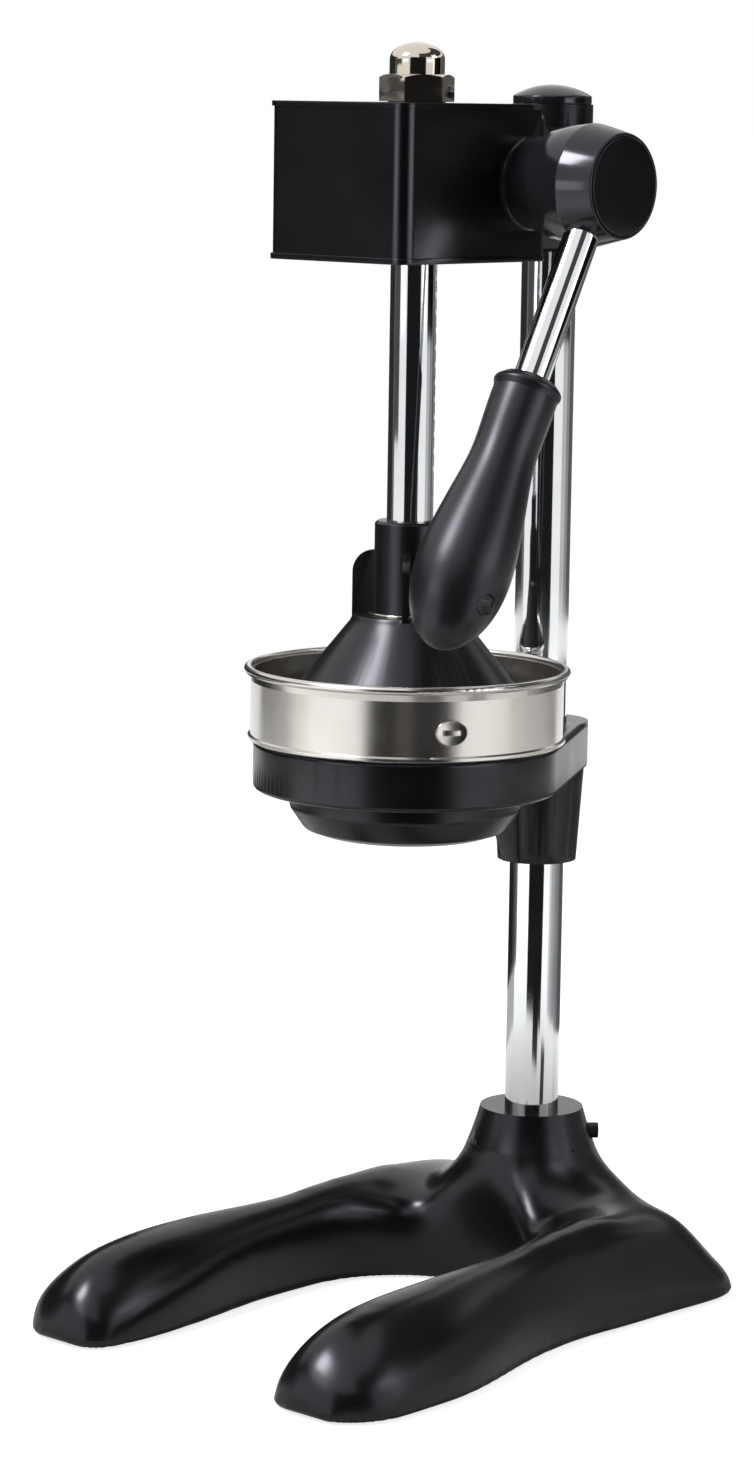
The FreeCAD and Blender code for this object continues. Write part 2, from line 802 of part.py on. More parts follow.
def funnel_screw_places():
    places = []
    for i in range(funnel_screw_count):
        a = math.radians(-90.0 + 360.0 * i / funnel_screw_count)
        places.append(V(funnel_screw_circle * math.cos(a), press_y + funnel_screw_circle * math.sin(a),
                        carrier_bottom))
    return places


def funnel_screw_seat():
    """How far above the carrier's underside the screw heads sit, flush with its floor."""
    return V(0, 0, carrier_floor - funnel_screw_head)


def funnel_profile(inset):
    """Half profile of the funnel's outside, drawn in by an inset."""
    top = carrier_bottom
    r = funnel_top_radius - inset
    foot = funnel_foot_radius - inset
    low = top - funnel_depth + inset
    turn = low + 3.0
    slope = top - funnel_straight
    mid = (r + foot) / 2.0
    return [
        (r, top), (r, slope + 1.0), (r - 0.7, slope - 0.6), (mid, (slope + turn) / 2.0 - 0.6),
        (foot + 1.6, turn - 0.4), (foot - 0.4, low + 1.2), (foot - 3.4, low + 0.3), (foot - 8.0, low),
    ]


def juice_funnel():
    """The tapered dish under the carrier, with one outlet over the glass."""
    outer = funnel_profile(0.0)
    inner = funnel_profile(funnel_wall)
    tip = funnel_outlet_radius
    low = carrier_bottom - funnel_depth
    points = outer + [(tip, low), (tip, low + funnel_wall)] + inner[::-1]
    body = turned_upright(points, press_y)
    ear_drop = V(0, 0, -funnel_ear)
    ears = []
    for place in funnel_screw_places():
        ear = cyl(funnel_screw_radius + funnel_ear_wall, place + ear_drop, place)
        ears.append(ear.common(upright(funnel_top_radius, press_y, low, carrier_bottom)))
    body = body.fuse(ears)
    for place in funnel_screw_places():
        deep = place - V(0, 0, funnel_screw_bite + funnel_screw_spare)
        body = body.cut(cyl(funnel_screw_radius, deep, place))
    return body


def funnel_screws():
    """Three screws down through the carrier's floor into the funnel's ears."""
    screws = []
    rise = funnel_screw_seat()
    for place in funnel_screw_places():
        screws.append(socket_screw(funnel_screw_radius, funnel_screw_head_radius, funnel_screw_head,
                                   rise.z + funnel_screw_bite, 1.0, place + rise, V(0, 0, -1)))
    return Part.makeCompound(screws)


def strainer_cup():
    """A drum with a rolled rim, and a pierced basket that hangs in the carrier."""
    r = cup_drum_radius
    w = cup_wall
    b = cup_drum_bottom
    top = cup_rim_top
    k = cup_basket_radius
    floor = cup_basket_bottom
    hole = reamer_base_radius - 6.0
    bead = cup_rim_bead
    points = [
        (hole, floor), (k - 1.5, floor), (k, floor + 1.5), (k, b), (r + cup_foot_bead - 0.4, b),
        (r + cup_foot_bead, b + 0.4), (r + cup_foot_bead, b + 1.4), (r, b + 2.0),
        (r, top - 3.6 * bead), (cup_rim_radius - bead, top - 1.4 * bead),
        (r - w, top - 1.4 * bead), (r - w, b + w), (k - w, b + w), (k - w, floor + w), (hole, floor + w),
    ]
    body = turned_upright(points, press_y)
    ring = Part.makeTorus(cup_rim_radius - bead, bead, V(0, press_y, top - bead), V(0, 0, 1))
    body = body.fuse(ring)
    pins = []
    for ring_radius in cup_hole_rings:
        count = int(round(2.0 * math.pi * ring_radius * cup_holes_per_mm))
        pin = upright(cup_hole_radius, press_y, floor - 1.0, floor + w + 1.0, ring_radius)
        pins += spun_copies(pin, count, press_y)
    return body.cut(Part.makeCompound(pins))


def cup_badge():
    """The small oval stud pressed on the drum's wall, with a bar in its middle."""
    r = cup_drum_radius
    oval = Part.Ellipse(V(0, 0, 0), cup_badge_half_width, cup_badge_half_height)
    plate = Part.Face(Part.Wire(oval.toShape())).extrude(V(0, 0, cup_badge_proud + 6.0))
    plate.rotate(V(0, 0, 0), V(1, 0, 0), 90.0)
    plate.translate(V(0, press_y - r + 6.0, cup_badge_height))
    bar_half = cup_badge_half_width * 0.55
    tall = cup_badge_half_height * 0.4
    slot = box(-bar_half, bar_half, press_y - r - 3.0, press_y - r - 0.35,
               cup_badge_height - tall, cup_badge_height + tall)
    skin = upright(r + cup_badge_proud, press_y, cup_badge_height - 10.0, cup_badge_height + 10.0)
    core = upright(r, press_y, cup_badge_height - 20.0, cup_badge_height + 20.0)
    stud = plate.common(skin).cut(core).cut(slot)
    stud.rotate(V(0, press_y, 0), V(0, 0, 1), cup_badge_turn)
    return stud


def reamer():
    """The ribbed cone that the fruit is pressed on."""
    base = cup_basket_bottom + cup_wall
    r = reamer_base_radius
    s = reamer_shoulder_radius
    h = reamer_height
    tip = reamer_tip_radius
    points = [
        (0.0, base), (r, base), (r, base + reamer_base), (s, base + reamer_base),
        (s * 0.84, base + 0.2 * h), (s * 0.62, base + 0.45 * h), (s * 0.40, base + 0.7 * h),
        (tip + 1.5, base + 0.9 * h), (tip * 0.6, base + 0.98 * h), (0.0, base + h),
    ]
    body = turned_upright(points, press_y)
    t = reamer_rib_thickness / 2.0
    p = reamer_rib_proud
    rib = Part.Face(Part.makePolygon([
        V(1.0, press_y - t, base + 1.0),
        V(s, press_y - t, base + 1.0),
        V(s * 0.84 + p, press_y - t, base + 0.2 * h),
        V(s * 0.62 + p, press_y - t, base + 0.45 * h),
        V(s * 0.40 + p, press_y - t, base + 0.7 * h),
        V(tip, press_y - t, base + 0.92 * h),
        V(1.0, press_y - t, base + 0.94 * h),
        V(1.0, press_y - t, base + 1.0),
    ])).extrude(V(0, 2.0 * t, 0))
    return body.fuse(spun_copies(rib, reamer_rib_count, press_y))


def rack_space(z):
    """The gap between two rack teeth, centred on a height."""
    lean = math.tan(math.radians(pressure_angle))
    half = rack_pitch / 4.0 + gear_backlash / 2.0
    root = rack_line_y - gear_dedendum
    out = rack_line_y + gear_addendum + 6.0
    low = half - gear_dedendum * lean
    high = half + (gear_addendum + 6.0) * lean
    x = -rod_dia
    face = Part.Face(Part.makePolygon([
        V(x, root, z - low), V(x, out, z - high), V(x, out, z + high), V(x, root, z + low),
        V(x, root, z - low),
    ]))
    return face.extrude(V(2.0 * rod_dia, 0, 0))


def rack_rod():
    """The round press rod, with rack teeth cut in its rear side."""
    bar = upright(rod_radius, press_y, rod_bottom, washer_top)
    bar = bar.fuse(upright(rod_neck_radius, press_y, washer_top, rod_top))
    count_down = int((hub_z - rack_bottom) / rack_pitch)
    top_run = housing_top - upper_bush_length - hub_z
    count_up = int(top_run / rack_pitch) + 1
    spaces = [rack_space(hub_z + (i + 0.5) * rack_pitch) for i in range(-count_down - 1, count_up)]
    crest = rack_line_y + gear_addendum
    low = hub_z - (count_down + 0.5) * rack_pitch
    high = hub_z + (count_up - 0.5) * rack_pitch
    spaces.append(box(-rod_dia, rod_dia, crest, crest + rod_dia, low, high))
    bar = bar.cut(Part.makeCompound(spaces))
    screw_end = rod_bottom + cone_screw_length - cone_roof
    return bar.cut(upright(cone_screw_radius, press_y, rod_bottom, screw_end))


def acorn_nut():
    """The domed nut on the rod, hollowed at its foot for the stop washer."""
    hexa = hexagon(nut_across_flats, nut_bottom, nut_hex_top, press_y, nut_hex_turn)
    flat = nut_across_flats / 2.0
    corner = flat / math.cos(math.pi / 6.0) + 0.05
    trim = turned_upright([
        (0.0, nut_bottom), (corner, nut_bottom), (corner, nut_hex_top - nut_chamfer),
        (flat, nut_hex_top), (0.0, nut_hex_top),
    ], press_y)
    hexa = hexa.common(trim)
    straight = nut_hex_top + nut_dome_straight
    post = upright(nut_dome_radius, press_y, nut_hex_top, straight)
    dome = oval_dome(nut_dome_radius, nut_top_above_hex - nut_dome_straight)
    dome.translate(V(0, press_y, straight))
    body = hexa.fuse([post, dome])
    body = body.cut(upright(stop_washer_radius, press_y, nut_bottom - 1.0, washer_top))
    return body.cut(upright(rod_neck_radius, press_y, nut_bottom - 1.0, rod_top))


def oval_dome(radius, rise):
    """A dome on the origin whose side view is half of an oval."""
    wide = max(radius, rise)
    low = min(radius, rise)
    quarter = Part.ArcOfEllipse(Part.Ellipse(V(0, 0, 0), wide, low), 0.0, math.pi / 2.0).toShape()
    if rise > radius:
        quarter = quarter.mirror(V(0, 0, 0), V(1, -1, 0))
    foot = Part.makeLine(V(0, 0, 0), V(radius, 0, 0))
    middle = Part.makeLine(V(0, 0, 0), V(0, rise, 0))
    dome = Part.Face(Part.Wire(Part.sortEdges([foot, quarter, middle])[0]))
    dome = dome.revolve(V(0, 0, 0), V(0, 1, 0), 360.0)
    dome.rotate(V(0, 0, 0), V(1, 0, 0), 90.0)
    return dome


def stop_washer():
    """The nylon ring let into the nut's foot, a little proud of it."""
    ring = upright(stop_washer_radius, press_y, head_top, washer_top)
    return ring.cut(upright(rod_radius, press_y, head_top, washer_top))


def press_cone():
    """The flared bell that closes on the reamer, with four fins under its collar."""
    mouth = cone_mouth_radius
    w = cone_wall
    shoulder = cone_shoulder_top
    inner_roof = shoulder - cone_roof
    points = [
        (0.0, cone_collar_top), (cone_collar_radius - 1.0, cone_collar_top),
        (cone_collar_radius, cone_collar_top - 1.0), (cone_collar_radius, shoulder),
        (cone_shoulder_radius - 1.2, shoulder), (cone_shoulder_radius, shoulder - cone_shoulder_drop),
        (mouth, cone_mouth_top), (mouth, cone_mouth_bottom), (mouth - w, cone_mouth_bottom),
        (mouth - w, cone_mouth_top - 1.0), (cone_shoulder_radius - w, inner_roof), (0.0, inner_roof),
    ]
    body = turned_upright(points, press_y)
    t = cone_fin_thickness / 2.0
    c = cone_fin_corner
    r = cone_fin_radius
    top = cone_fin_top
    y = press_y - t
    mid = math.sqrt(0.5) * c
    edges = [
        Part.makeLine(V(5.0, y, shoulder - 1.0), V(r, y, shoulder - 1.0)),
        Part.makeLine(V(r, y, shoulder - 1.0), V(r, y, top - c)),
        Part.Arc(V(r, y, top - c), V(r - c + mid, y, top - c + mid), V(r - c, y, top)).toShape(),
        Part.makeLine(V(r - c, y, top), V(5.0, y, top)),
        Part.makeLine(V(5.0, y, top), V(5.0, y, shoulder - 1.0)),
    ]
    fin = Part.Face(Part.Wire(edges)).extrude(V(0, 2.0 * t, 0))
    body = body.fuse(spun_copies(fin, cone_fin_count, press_y, cone_fin_turn - 90.0))
    body = body.cut(upright(rod_radius, press_y, rod_bottom, cone_collar_top + 1.0))
    return body.cut(upright(cone_screw_radius + 0.2, press_y, inner_roof - 1.0, rod_bottom))


def cone_screw():
    seat = V(0, press_y, cone_shoulder_top - cone_roof)
    length = cone_screw_length + rod_bottom - cone_shoulder_top - 1.0
    return socket_screw(cone_screw_radius, cone_screw_head_radius, cone_screw_head, length, 3.0,
                        seat, V(0, 0, 1))


def involute(base, roll):
    return (base * (math.cos(roll) + roll * math.sin(roll)),
            base * (math.sin(roll) - roll * math.cos(roll)))


def tooth_outline(centre):
    """Points of one pinion tooth around a centre angle, as (Y, Z) pairs."""
    alpha = math.radians(pressure_angle)
    base = gear_pitch_radius * math.cos(alpha)
    tip = gear_pitch_radius + gear_addendum
    root = gear_pitch_radius - gear_dedendum
    spread = math.tan(alpha) - alpha
    half = math.pi / 2.0 / gear_teeth - gear_backlash / 2.0 / gear_pitch_radius + spread
    top_roll = math.sqrt((tip / base) ** 2 - 1.0)
    flank = []
    for i in range(6):
        px, py = involute(base, top_roll * i / 5.0)
        flank.append((math.hypot(px, py), math.atan2(py, px)))
    flank.insert(0, (root - 1.0, 0.0))
    left = [(r, centre - half + a) for r, a in flank]
    right = [(r, centre + half - a) for r, a in reversed(flank)]
    return [(r * math.cos(a), r * math.sin(a)) for r, a in left + right]


def pinion_gear():
    """The gear that lifts the rack. A gap between teeth faces the rack at rest."""
    x = -gear_width / 2.0
    body = cross(gear_pitch_radius - gear_dedendum, x, -x, hub_y, hub_z)
    teeth = []
    for i in range(gear_teeth):
        centre = math.pi + math.pi / gear_teeth + 2.0 * math.pi * i / gear_teeth
        spots = [V(x, hub_y + y, hub_z + z) for y, z in tooth_outline(centre)]
        spots.append(spots[0])
        teeth.append(Part.Face(Part.makePolygon(spots)).extrude(V(gear_width, 0, 0)))
    body = body.fuse(teeth)
    body = body.cut(cross(shaft_radius, x - 1.0, 1.0 - x, hub_y, hub_z))
    return body.cut(key_block(gear_width + 2.0))


def key_block(length):
    top = shaft_radius + key_height / 2.0
    low = shaft_radius - key_height / 2.0
    return box(-length / 2.0, length / 2.0, hub_y - key_width / 2.0, hub_y + key_width / 2.0,
               hub_z + low, hub_z + top)


def ring_x():
    return -housing_half - 1.0


def pinion_shaft():
    start = -housing_half - left_cap_length + left_cap_wall + 0.8
    end = hub_rear_x + hub_shaft_grip
    bar = cross(shaft_radius, start, end, hub_y, hub_z)
    groove = tube(shaft_radius + 1.0, shaft_radius - ring_groove_depth,
                  V(ring_x() - ring_thickness, hub_y, hub_z), V(ring_x(), hub_y, hub_z))
    return bar.cut(groove).cut(key_block(key_length))


def shaft_ring():
    x1 = ring_x()
    outer = shaft_radius + shaft_bush_wall - 0.5
    ring = tube(outer, shaft_radius - ring_groove_depth,
                V(x1 - ring_thickness, hub_y, hub_z), V(x1, hub_y, hub_z))
    gap = box(x1 - ring_thickness, x1, hub_y - 2.0, hub_y + 2.0, hub_z - outer - 1.0, hub_z - 3.0)
    return ring.cut(gap)


def lever_direction():
    a = math.radians(lever_rest_angle)
    return V(0, -math.sin(a), -math.cos(a))


def lever_point(distance):
    return V(lever_x, hub_y, hub_z) + lever_direction() * distance


def lever_hub():
    """The turned head on the shaft's end. It is widest where the lever enters."""
    e = hub_edge_round
    f = hub_face_x
    depth = hub_cap_thickness - hub_cap_proud
    bore_end = hub_rear_x + hub_shaft_grip
    widest = hub_rear_x + hub_widest_from_rear
    points = [
        (shaft_radius, hub_rear_x), (hub_rear_radius - 0.6, hub_rear_x),
        (hub_rear_radius, hub_rear_x + 0.6), (hub_widest_radius, widest),
        (hub_face_radius + 0.3 * e, f - e), (hub_face_radius - 0.5 * e, f),
        (hub_cap_radius, f), (hub_cap_radius, f - depth), (0.0, f - depth),
        (0.0, bore_end), (shaft_radius, bore_end),
    ]
    body = turned_cross(points, hub_y, hub_z)
    bore = cyl(lever_radius + lever_fit_gap, lever_point(lever_inner_end), lever_point(grip_start))
    body = body.cut(bore)
    place, inward, length = hub_screw_line()
    return body.cut(cyl(set_screw_radius, place - inward * 6.0, place + inward * (length + 1.0)))


def hub_screw_line():
    out = lever_direction() * -1.0
    reach = hub_widest_radius - 2.0
    place = V(lever_x, hub_y, hub_z) + out * reach
    return place, out * -1.0, reach - shaft_radius


def hub_set_screw():
    place, inward, length = hub_screw_line()
    return grub_screw(place, inward, length)


def hub_cap():
    f = hub_face_x
    start = f - hub_cap_thickness + hub_cap_proud
    points = [
        (0.0, start), (hub_cap_radius, start), (hub_cap_radius, f - 0.1),
        (hub_cap_radius - 0.4, f + hub_cap_proud), (0.0, f + hub_cap_proud),
    ]
    return turned_cross(points, hub_y, hub_z)


def lever_rod():
    bar = cyl(lever_radius, lever_point(lever_inner_end), lever_point(lever_outer_end))
    ends = [e for e in bar.Edges if e.Curve.TypeId == "Part::GeomCircle"]
    return bar.makeChamfer(0.8, ends)


def grip_outline():
    """The handle's half profile, as (distance from its start, radius)."""
    long = grip_length
    b = grip_bulge_from_start
    bulge = Part.BSplineCurve()
    bulge.interpolate([
        V(5.6, grip_neck_radius, 0),
        V(0.22 * b, grip_neck_radius, 0),
        V(0.42 * b, grip_waist_radius - 0.3, 0),
        V(0.60 * b, 0.70 * grip_waist_radius + 0.30 * grip_bulge_radius, 0),
        V(0.80 * b, 0.25 * grip_waist_radius + 0.75 * grip_bulge_radius, 0),
        V(b, grip_bulge_radius, 0),
        V(b + 0.30 * (long - b), 0.955 * grip_bulge_radius, 0),
        V(b + 0.60 * (long - b), 0.80 * grip_bulge_radius, 0),
        V(b + 0.85 * (long - b), 0.52 * grip_bulge_radius, 0),
        V(b + 0.97 * (long - b), 0.22 * grip_bulge_radius, 0),
        V(long, 0.0, 0),
    ])
    return bulge


def grip():
    """The moulded handle, with a bead at its mouth."""
    bead = grip_bead_radius
    mouth = grip_bead_radius - 2.6
    edges = [
        Part.makeLine(V(grip_length, 0, 0), V(0, 0, 0)),
        Part.makeLine(V(0, 0, 0), V(0, mouth, 0)),
        Part.makeLine(V(0, mouth, 0), V(1.6, bead - 0.8, 0)),
        Part.Arc(V(1.6, bead - 0.8, 0), V(3.0, bead, 0), V(4.4, bead - 0.4, 0)).toShape(),
        Part.makeLine(V(4.4, bead - 0.4, 0), V(5.6, grip_neck_radius, 0)),
        grip_outline().toShape(),
    ]
    body = Part.Face(Part.Wire(edges)).revolve(V(0, 0, 0), V(1, 0, 0), 360.0)
    spin = FreeCAD.Rotation(V(1, 0, 0), lever_direction())
    body.Placement = FreeCAD.Placement(lever_point(grip_start), spin)
    body = Part.makeCompound([body]).Solids[0]
    body = body.cut(cyl(lever_radius + lever_fit_gap, lever_point(grip_start - 5.0),
                        lever_point(lever_outer_end + 0.5)))
    spot = lever_point(grip_start + plug_from_start)
    return body.cut(cyl(plug_radius, spot, spot + V(2.0 * grip_bulge_radius, 0, 0)))


def plug_face():
    """How far the handle's skin stands from the lever axis at the plug."""
    return grip_bulge_radius * 0.93


def grip_screw():
    spot = lever_point(grip_start + plug_from_start)
    start = spot + V(lever_radius, 0, 0)
    screw = cyl(plug_radius - 0.6, start, start + V(grip_screw_length - 2.0, 0, 0))
    return screw.cut(cyl(1.5, start + V(1.0, 0, 0), start + V(grip_screw_length, 0, 0)))


def grip_plug():
    spot = lever_point(grip_start + plug_from_start)
    start = spot + V(lever_radius + grip_screw_length - 2.0, 0, 0)
    end = spot + V(plug_face(), 0, 0)
    plug = cyl(plug_radius, start, end)
    return plug.cut(cyl(plug_radius - 1.0, end - V(plug_dish, 0, 0), end))


def save(name, shape):
    solids = shape.Solids
    for solid in solids:
        if not solid.isValid():
            print("not valid:", name)
    result = solids[0] if len(solids) == 1 else Part.makeCompound(solids)
    result.exportStep(os.path.join("parts", name + ".step"))
    bounds = result.BoundBox
    print(name, len(solids), round(result.Volume / 1000.0, 2),
          [round(v, 1) for v in (bounds.XMin, bounds.XMax, bounds.YMin, bounds.YMax,
                                 bounds.ZMin, bounds.ZMax)])


def main():
    os.makedirs("parts", exist_ok=True)
    save("base_casting", base_casting())
    save("rubber_feet", rubber_feet())
    save("foot_screws", foot_screws())
    save("column", column())
    save("column_washer", column_washer_ring())
    save("column_bolt", column_bolt())
    save("base_set_screws", base_set_screws())
    save("head_housing", head_housing())
    save("head_top_plate", head_top_plate())
    save("head_bottom_plate", head_bottom_plate())
    save("plate_screws", plate_screws())
    save("upper_rod_bush", upper_rod_bush())
    save("lower_rod_bush", lower_rod_bush())
    save("shaft_bush_left", shaft_bush(-housing_half, -housing_half + housing_wall + 4.0))
    save("shaft_bush_right", shaft_bush(housing_half - housing_wall - 4.0, boss_face_x))
    save("bearing_boss", bearing_boss())
    save("left_bearing_cap", left_bearing_cap())
    save("column_clamp", column_clamp())
    save("clamp_screws", clamp_screws())
    save("column_cap", column_cap())
    save("bowl_carrier", bowl_carrier())
    save("carrier_set_screw", carrier_set_screw())
    save("juice_funnel", juice_funnel())
    save("funnel_screws", funnel_screws())
    save("strainer_cup", strainer_cup())
    save("cup_badge", cup_badge())
    save("reamer", reamer())
    save("rack_rod", rack_rod())
    save("acorn_nut", acorn_nut())
    save("stop_washer", stop_washer())
    save("press_cone", press_cone())
    save("cone_screw", cone_screw())
    save("pinion_gear", pinion_gear())
    save("pinion_shaft", pinion_shaft())
    save("shaft_key", key_block(key_length))
    save("shaft_ring", shaft_ring())
    save("lever_hub", lever_hub())
    save("hub_set_screw", hub_set_screw())
    save("hub_cap", hub_cap())
    save("lever_rod", lever_rod())
    save("grip", grip())
    save("grip_screw", grip_screw())
    save("grip_plug", grip_plug())


main()
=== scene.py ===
import json
import math
import bmesh
import bpy
from mathutils import Matrix, Vector


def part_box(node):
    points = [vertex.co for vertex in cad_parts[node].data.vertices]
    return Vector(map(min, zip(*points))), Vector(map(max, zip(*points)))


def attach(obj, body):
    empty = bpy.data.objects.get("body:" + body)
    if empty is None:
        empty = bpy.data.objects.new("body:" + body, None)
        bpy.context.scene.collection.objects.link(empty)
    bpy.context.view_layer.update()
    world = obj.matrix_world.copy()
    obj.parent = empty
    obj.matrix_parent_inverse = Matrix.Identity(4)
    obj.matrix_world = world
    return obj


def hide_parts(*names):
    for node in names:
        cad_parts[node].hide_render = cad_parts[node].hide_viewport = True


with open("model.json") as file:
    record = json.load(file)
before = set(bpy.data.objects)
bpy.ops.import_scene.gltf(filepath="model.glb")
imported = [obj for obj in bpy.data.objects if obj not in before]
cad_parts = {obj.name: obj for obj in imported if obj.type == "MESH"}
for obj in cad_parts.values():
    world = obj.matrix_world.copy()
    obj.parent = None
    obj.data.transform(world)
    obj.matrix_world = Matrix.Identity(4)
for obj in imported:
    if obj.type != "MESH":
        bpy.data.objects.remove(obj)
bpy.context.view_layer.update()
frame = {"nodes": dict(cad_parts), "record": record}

mm = 0.001
nodes = frame["nodes"]
print("frame loaded:", len(nodes), "pieces")


# colours and material nodes

def linear(hexCode):
    # sRGB hex to the linear RGBA that sockets take
    out = []
    for i in (1, 3, 5):
        c = int(hexCode[i:i + 2], 16) / 255
        out.append(c / 12.92 if c <= 0.04045 else ((c + 0.055) / 1.055) ** 2.4)
    return (*out, 1.0)


def addNode(tree, kind, sockets=None, **settings):
    # sockets maps an input's name or number to a value or to another node's output
    made = tree.nodes.new(kind)
    for name, value in settings.items():
        setattr(made, name, value)
    for name, value in (sockets or {}).items():
        if isinstance(value, bpy.types.NodeSocket):
            tree.links.new(value, made.inputs[name])
        else:
            made.inputs[name].default_value = value
    return made


def newMaterial(name):
    made = bpy.data.materials.new(name)
    made.use_nodes = True
    made.node_tree.nodes.clear()
    return made, made.node_tree


def finishMaterial(tree, shader):
    addNode(tree, "ShaderNodeOutputMaterial", {"Surface": shader})


# most of the noise lies between these two values
noiseLow, noiseHigh = 0.3, 0.7


def grain(tree, sizeMm, detail=3.0):
    # noise whose blobs are about sizeMm across
    at = addNode(tree, "ShaderNodeTexCoord").outputs["Object"]
    made = addNode(tree, "ShaderNodeTexNoise", {
        "Vector": at, "Scale": 1 / (sizeMm * mm), "Detail": detail})
    return made.outputs["Fac"]


def between(tree, factor, low, high):
    made = addNode(tree, "ShaderNodeMapRange", {
        "Value": factor, "From Min": noiseLow, "From Max": noiseHigh, "To Min": low, "To Max": high})
    return made.outputs["Result"]


def makeFinish(name, look):
    # mottled colour and roughness that drift together, and a fine unevenness in the bump
    made, tree = newMaterial(name)
    drift = grain(tree, look["driftMm"], detail=2.0)
    colour = addNode(tree, "ShaderNodeValToRGB", {"Fac": drift})
    colour.color_ramp.elements[0].position = noiseLow
    colour.color_ramp.elements[0].color = linear(look["dark"])
    colour.color_ramp.elements[1].position = noiseHigh
    colour.color_ramp.elements[1].color = linear(look["light"])
    rough = between(tree, drift, *look["roughness"])
    bump = addNode(tree, "ShaderNodeBump", {
        "Height": grain(tree, look["peelMm"]), "Distance": look["peelDepthMm"] * mm,
        "Strength": look["bump"]})
    shader = addNode(tree, "ShaderNodeBsdfPrincipled", {
        "Base Color": colour.outputs["Color"], "Roughness": rough, "Normal": bump.outputs["Normal"],
        "Metallic": look.get("metallic", 0.0),
        "Specular Tint": linear(look.get("sheen", "#ffffff"))})
    finishMaterial(tree, shader.outputs["BSDF"])
    return made


looks = {
    # powder coat over iron: satin black, soft long highlights and a trace of peel
    "black_casting": {"dark": "#0a0a0c", "light": "#0d0d10", "driftMm": 40, "roughness": (0.23, 0.29),
                      "peelMm": 1.1, "peelDepthMm": 0.02, "bump": 0.3, "sheen": "#eeecf9"},
    # stoved enamel: smoother than the powder coat, with even highlights
    "gloss_black": {"dark": "#0a0a0c", "light": "#0c0c0f", "driftMm": 30, "roughness": (0.27, 0.32),
                    "peelMm": 2.5, "peelDepthMm": 0.01, "bump": 0.1, "sheen": "#eeecf9"},
    # moulded rubber: matt, with hardly a highlight
    "black_rubber": {"dark": "#0f0f10", "light": "#161617", "driftMm": 6, "roughness": (0.7, 0.85),
                     "peelMm": 0.5, "peelDepthMm": 0.05, "bump": 0.5},
    # zinc plate on steel: pale grey metal with blurred reflections
    "zinc_steel": {"dark": "#b9bab8", "light": "#d2d3d0", "driftMm": 5, "roughness": (0.22, 0.36),
                   "peelMm": 0.6, "peelDepthMm": 0.01, "bump": 0.3, "metallic": 1.0},
    # black oxide on steel: dark, with a dull metal sheen
    "black_steel": {"dark": "#161617", "light": "#222224", "driftMm": 4, "roughness": (0.32, 0.45),
                    "peelMm": 0.5, "peelDepthMm": 0.02, "bump": 0.3, "metallic": 0.4},
    # polished chrome: a near mirror, so the bars show the studio as upright bands
    "chrome_bar": {"dark": "#dddfe2", "light": "#e6e8ea", "driftMm": 20, "roughness": (0.05, 0.08),
                   "peelMm": 6, "peelDepthMm": 0.004, "bump": 0.15, "metallic": 1.0},
    # sintered bronze: brown yellow metal with a fine grain
    "bronze": {"dark": "#8c6a3a", "light": "#a7824c", "driftMm": 3, "roughness": (0.35, 0.5),
               "peelMm": 0.4, "peelDepthMm": 0.02, "bump": 0.4, "metallic": 1.0},
    # moulded nylon: charcoal, with clear, narrow highlights
    "black_plastic": {"dark": "#1e1e22", "light": "#242428", "driftMm": 25, "roughness": (0.13, 0.17),
                      "peelMm": 0.5, "peelDepthMm": 0.01, "bump": 0.2, "sheen": "#eeecf9"},
    # spun stainless steel: warm pale grey with soft reflections
    "stainless": {"dark": "#cdc9c4", "light": "#dcd9d5", "driftMm": 30, "roughness": (0.18, 0.26),
                  "peelMm": 1, "peelDepthMm": 0.01, "bump": 0.1, "metallic": 1.0},
    # cast aluminium: pale and even, with blurred reflections
    "cast_aluminium": {"dark": "#b4b5b5", "light": "#c6c7c7", "driftMm": 8, "roughness": (0.3, 0.45),
                       "peelMm": 0.6, "peelDepthMm": 0.03, "bump": 0.3, "metallic": 1.0},
    # nickel plate: a slightly warm mirror
    "nickel": {"dark": "#cfc7b9", "light": "#dad3c6", "driftMm": 12, "roughness": (0.06, 0.12),
               "peelMm": 3, "peelDepthMm": 0.006, "bump": 0.2, "metallic": 1.0},
    # cut nylon sheet: dull black
    "black_nylon": {"dark": "#101011", "light": "#151516", "driftMm": 5, "roughness": (0.5, 0.6),
                    "peelMm": 0.5, "peelDepthMm": 0.02, "bump": 0.3},
    # machined steel: mid grey metal with blurred reflections
    "steel_gear": {"dark": "#8d8e90", "light": "#a5a6a8", "driftMm": 4, "roughness": (0.25, 0.4),
                   "peelMm": 0.5, "peelDepthMm": 0.02, "bump": 0.3, "metallic": 1.0},
    # soft-touch rubber: charcoal, with wide, faint highlights
    "soft_grip": {"dark": "#17171a", "light": "#1b1b1f", "driftMm": 30, "roughness": (0.32, 0.36),
                  "peelMm": 0.7, "peelDepthMm": 0.01, "bump": 0.2, "sheen": "#eeecf9"},
}
finishes = {slot: makeFinish(slot, look) for slot, look in looks.items()}
for row in frame["record"]["subparts"]:
    part = nodes[row["node"]]
    part.data.materials.clear()
    part.data.materials.append(finishes[row["material_slot"]])


# shared mesh steps: points closer than weldMm are one, edges flatter than flatDegrees go, and
# points within cutSlack metres of a level cut lie on it
weldMm = 0.001
flatDegrees = 0.6
cutSlack = 1e-7


def merged(node):
    # a copy of a CAD node with its loose triangles joined
    bm = bmesh.new()
    bm.from_mesh(nodes[node].data)
    bmesh.ops.remove_doubles(bm, verts=bm.verts, dist=weldMm * mm)
    return bm


